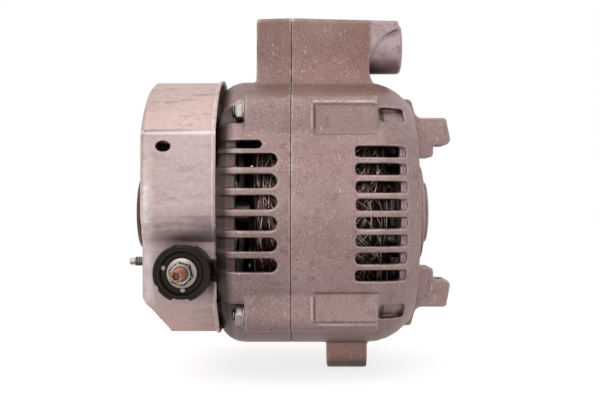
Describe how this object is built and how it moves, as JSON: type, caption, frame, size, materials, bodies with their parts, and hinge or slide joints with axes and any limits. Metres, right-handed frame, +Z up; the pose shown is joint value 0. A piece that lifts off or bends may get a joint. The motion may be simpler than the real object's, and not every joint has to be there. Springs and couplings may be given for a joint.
{
  "type": "alternator",
  "caption": "Air-cooled vehicle alternator with claw pole rotor, inner fans, rear rectifier cover, pivot arm, lower lug and a fork of front ears.",
  "frame": {"origin": "on the shaft axis at the mouth of the drive socket in the shaft's drive end", "axes": "+X along the shaft out of the drive end, +Z up towards the pivot arm"},
  "size_m": [0.1614, 0.1507, 0.182],
  "materials": {
    "cast_aluminium": "as cast, satin",
    "sheet_steel": "satin with fine scratches",
    "zinc_steel": "zinc plated",
    "shaft_steel": "ground",
    "core_steel": "varnished laminations",
    "copper_wire": "enamelled copper",
    "copper_bar": "copper",
    "bearing_steel": "ground and polished",
    "seal_rubber": "matt",
    "black_moulding": "moulded",
    "brown_moulding": "moulded",
    "sink_aluminium": "plain",
    "brush_carbon": "carbon"
  },
  "bodies": {
    "frame": {"battery_nut": "zinc_steel", "battery_strap": "copper_bar", "battery_stud": "copper_bar", "bearing_retainer": "zinc_steel", "brush_holder": "black_moulding", "cover_nuts": "zinc_steel", "cover_spacers": "zinc_steel", "cover_studs": "zinc_steel", "drive_bearing_outer_ring": "bearing_steel", "drive_bearing_seals": "seal_rubber", "drive_end_frame": "cast_aluminium", "frame_nuts": "zinc_steel", "frame_studs": "zinc_steel", "inner_brush_spring": "bearing_steel", "lamp_terminal": "zinc_steel", "lamp_terminal_bush": "black_moulding", "negative_diodes": "zinc_steel", "negative_heat_sink": "sink_aluminium", "outer_brush_spring": "bearing_steel", "positive_diodes": "zinc_steel", "positive_heat_sink": "sink_aluminium", "rear_bearing_outer_ring": "bearing_steel", "rear_bearing_seals": "seal_rubber", "rear_cover": "sheet_steel", "rear_end_frame": "cast_aluminium", "rectifier_screws": "zinc_steel", "rectifier_spacers": "brown_moulding", "rectifier_terminal_ring": "black_moulding", "regulator_body": "black_moulding", "regulator_heat_sink": "sink_aluminium", "regulator_screws": "zinc_steel", "retainer_screws": "zinc_steel", "slip_ring_cover": "brown_moulding", "stator_core": "core_steel", "stator_leads": "copper_wire", "stator_winding": "copper_wire", "terminal_insulator": "black_moulding"},
    "rotor": {"shaft": "shaft_steel", "drive_pole_core": "core_steel", "rear_pole_core": "core_steel", "field_bobbin": "black_moulding", "field_coil": "copper_wire", "drive_fan": "sheet_steel", "rear_fan": "sheet_steel", "spacer_collar": "shaft_steel", "drive_bearing_inner_ring": "bearing_steel", "rear_bearing_inner_ring": "bearing_steel", "slip_ring_sleeve": "black_moulding", "inner_slip_ring": "copper_bar", "outer_slip_ring": "copper_bar"},
    "inner_brush": {"inner_brush": "brush_carbon"},
    "outer_brush": {"outer_brush": "brush_carbon"}
  },
  "joints": [
    {"name": "rotor_spin", "type": "hinge", "parent": "frame", "child": "rotor", "pos_m": [0, 0, 0], "axis": [1, 0, 0], "continuous": true},
    {"name": "inner_brush_slide", "type": "slide", "parent": "frame", "child": "inner_brush", "axis": [0, 0, 1], "range_m": [0, 0.006], "stiffness_N_per_m": 300, "springref_m": -0.008, "deforming": ["inner_brush_spring"]},
    {"name": "outer_brush_slide", "type": "slide", "parent": "frame", "child": "outer_brush", "axis": [0, 0, 1], "range_m": [0, 0.006], "stiffness_N_per_m": 300, "springref_m": -0.008, "deforming": ["outer_brush_spring"]}
  ]
}
